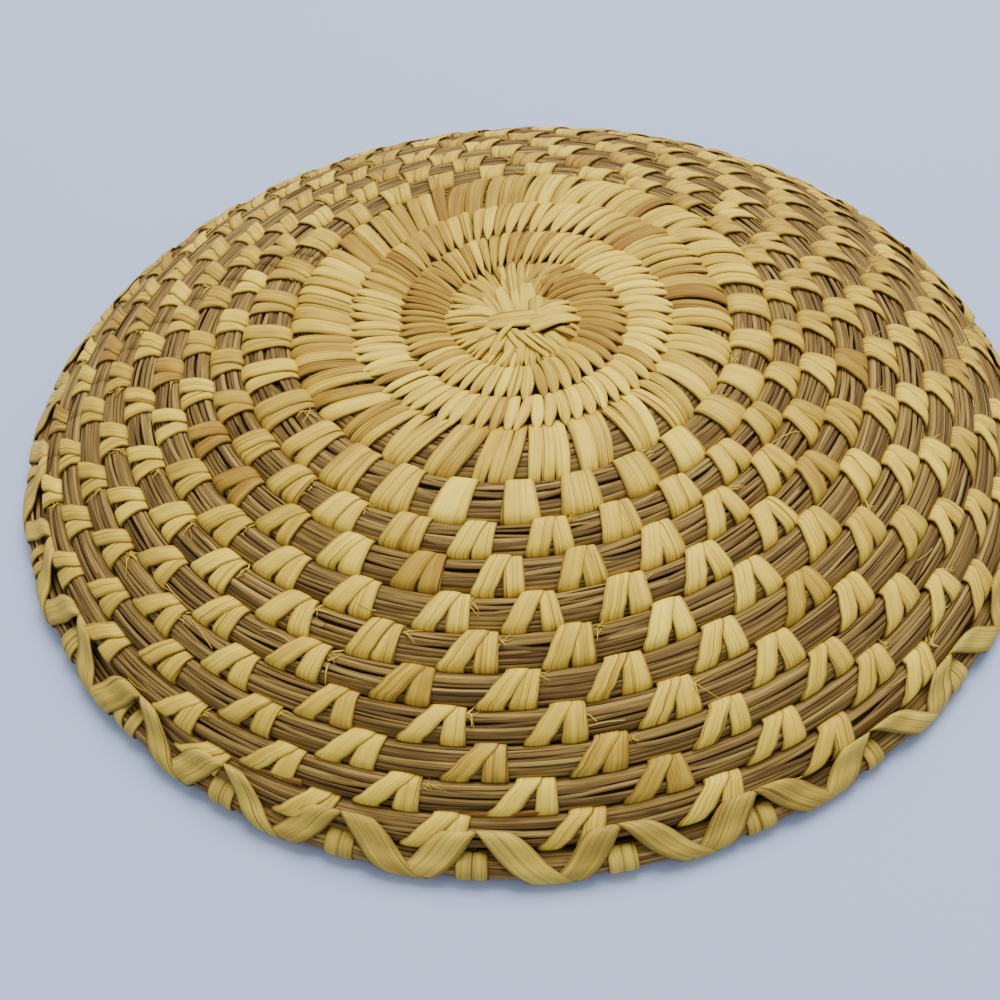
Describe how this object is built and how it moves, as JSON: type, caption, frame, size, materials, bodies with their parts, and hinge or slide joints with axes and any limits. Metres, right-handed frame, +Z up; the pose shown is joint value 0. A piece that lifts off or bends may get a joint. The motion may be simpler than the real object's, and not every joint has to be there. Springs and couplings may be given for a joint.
{
  "type": "coiled grass basket tray",
  "caption": "Shallow round basket tray lying face down: a spiral bundle of split grass sewn with flat leaf strips, closed over the flat middle, spread on the wall, with a lashed rim.",
  "frame": {"origin": "middle of the tray's box at the level of the surface that its rim stands on", "axes": "+Z up, out of the closed side; the picture looks along +Y from above; +X to the right"},
  "size_m": [0.3236, 0.3254, 0.0476],
  "materials": {
    "split_grass": "matt dried grass",
    "leaf_strip": "satin bleached leaf",
    "rim_grass": "matt dried grass",
    "lashing_strip": "satin bleached leaf",
    "knot_strip": "satin bleached leaf"
  },
  "bodies": {
    "root": {"grass_coil_01": "split_grass", "grass_coil_02": "split_grass", "grass_coil_03": "split_grass", "grass_coil_04": "split_grass", "grass_coil_05": "split_grass", "grass_coil_06": "split_grass", "grass_coil_07": "split_grass", "grass_coil_08": "split_grass", "grass_coil_09": "split_grass", "grass_coil_10": "split_grass", "grass_coil_11": "split_grass", "grass_coil_12": "split_grass", "grass_coil_13": "split_grass", "grass_coil_14": "split_grass", "closed_sewing_01": "leaf_strip", "closed_sewing_02": "leaf_strip", "closed_sewing_03": "leaf_strip", "closed_sewing_04": "leaf_strip", "closed_sewing_05": "leaf_strip", "split_sewing_05": "leaf_strip", "split_sewing_06": "leaf_strip", "split_sewing_07": "leaf_strip", "split_sewing_08": "leaf_strip", "split_sewing_09": "leaf_strip", "split_sewing_10": "leaf_strip", "split_sewing_11": "leaf_strip", "split_sewing_12": "leaf_strip", "split_sewing_13": "leaf_strip", "split_sewing_14": "leaf_strip", "rim_coil": "rim_grass", "rim_lashing": "lashing_strip", "start_strip_1": "knot_strip", "start_strip_2": "knot_strip", "start_strip_3": "knot_strip", "start_strip_4": "knot_strip"}
  },
  "joints": []
}
